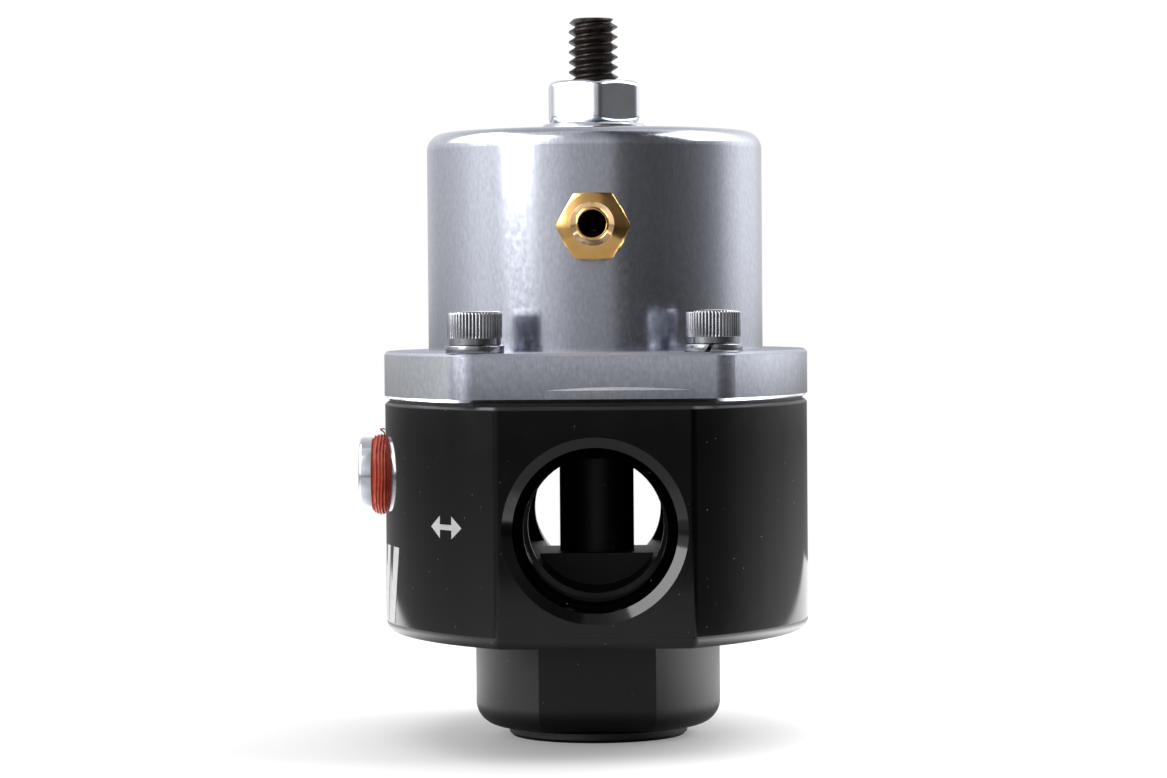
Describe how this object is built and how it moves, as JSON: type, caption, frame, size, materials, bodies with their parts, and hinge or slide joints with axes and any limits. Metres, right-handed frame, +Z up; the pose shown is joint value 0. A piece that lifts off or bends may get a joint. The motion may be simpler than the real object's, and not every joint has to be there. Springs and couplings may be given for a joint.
{
  "type": "adjustable fuel pressure regulator",
  "caption": "Bypass fuel pressure regulator: black block with opposite side ports, silver bonnet with adjusting screw, brass vacuum nipple and plugged gauge and return ports.",
  "frame": {"origin": "centre of the lowest face, on the axis of the adjusting screw, at the mouth of the return plug's key socket", "axes": "+Z up along the adjusting screw; the vacuum nipple and one inlet port point along -Y, the other inlet port along +Y, the gauge port along -X"},
  "size_m": [0.0567, 0.0711, 0.0906],
  "materials": {
    "black_anodised": "glossy black anodised",
    "silver_anodised": "satin clear anodised, fine vertical grain",
    "black_oxide": "oiled black oxide",
    "zinc_plated": "bright zinc plate",
    "spring_steel": "drawn wire",
    "hard_steel": "ground and polished",
    "brass": "turned, bright",
    "seal_rubber": "smooth black",
    "sealant": "dried red thread sealant"
  },
  "bodies": {
    "housing": {"body": "black_anodised", "bonnet": "silver_anodised", "diaphragm": "seal_rubber", "return_seat": "black_anodised", "seat_o_ring": "seal_rubber", "main_spring": "spring_steel", "bonnet_screws": "zinc_plated", "lock_washers": "zinc_plated", "vacuum_nipple": "brass", "gauge_port_plug": "zinc_plated", "thread_sealant": "sealant", "return_port_plug": "black_anodised", "plug_o_ring": "seal_rubber"},
    "valve": {"backing_plate": "silver_anodised", "diaphragm_plate": "silver_anodised", "valve_holder": "brass", "holder_nut": "zinc_plated", "valve_ball": "hard_steel", "ball_retainer": "brass"},
    "spring_carrier": {"upper_spring_seat": "zinc_plated", "thrust_ball": "hard_steel"},
    "screw": {"adjusting_screw": "black_oxide"},
    "washer": {"sealing_washer": "zinc_plated", "washer_seal": "seal_rubber"},
    "nut": {"jam_nut": "zinc_plated"}
  },
  "joints": [
    {"name": "valve_lift", "type": "slide", "parent": "housing", "child": "valve", "axis": [0, 0, 1], "range_m": [0, 0.0008], "stiffness_N_per_m": 2000, "springref_m": -0.002, "deforming": ["diaphragm"]},
    {"name": "seat_travel", "type": "slide", "parent": "housing", "child": "spring_carrier", "axis": [0, 0, 1], "range_m": [-0.0038, 0.0038], "deforming": ["main_spring"]},
    {"name": "screw_turn", "type": "hinge", "parent": "spring_carrier", "child": "screw", "pos_m": [0, 0, 0.08], "axis": [0, 0, 1], "range_deg": [-1080, 1080]},
    {"name": "washer_lift", "type": "slide", "parent": "housing", "child": "washer", "axis": [0, 0, 1], "range_m": [0, 0.00253]},
    {"name": "nut_turn", "type": "hinge", "parent": "washer", "child": "nut", "pos_m": [0, 0, 0.08], "axis": [0, 0, 1], "range_deg": [0, 720]}
  ],
  "couplings": [
    {"joint": "screw_turn", "follows": "seat_travel", "rad_per_m": 4947.4},
    {"joint": "nut_turn", "follows": "washer_lift", "rad_per_m": 4947.4}
  ]
}
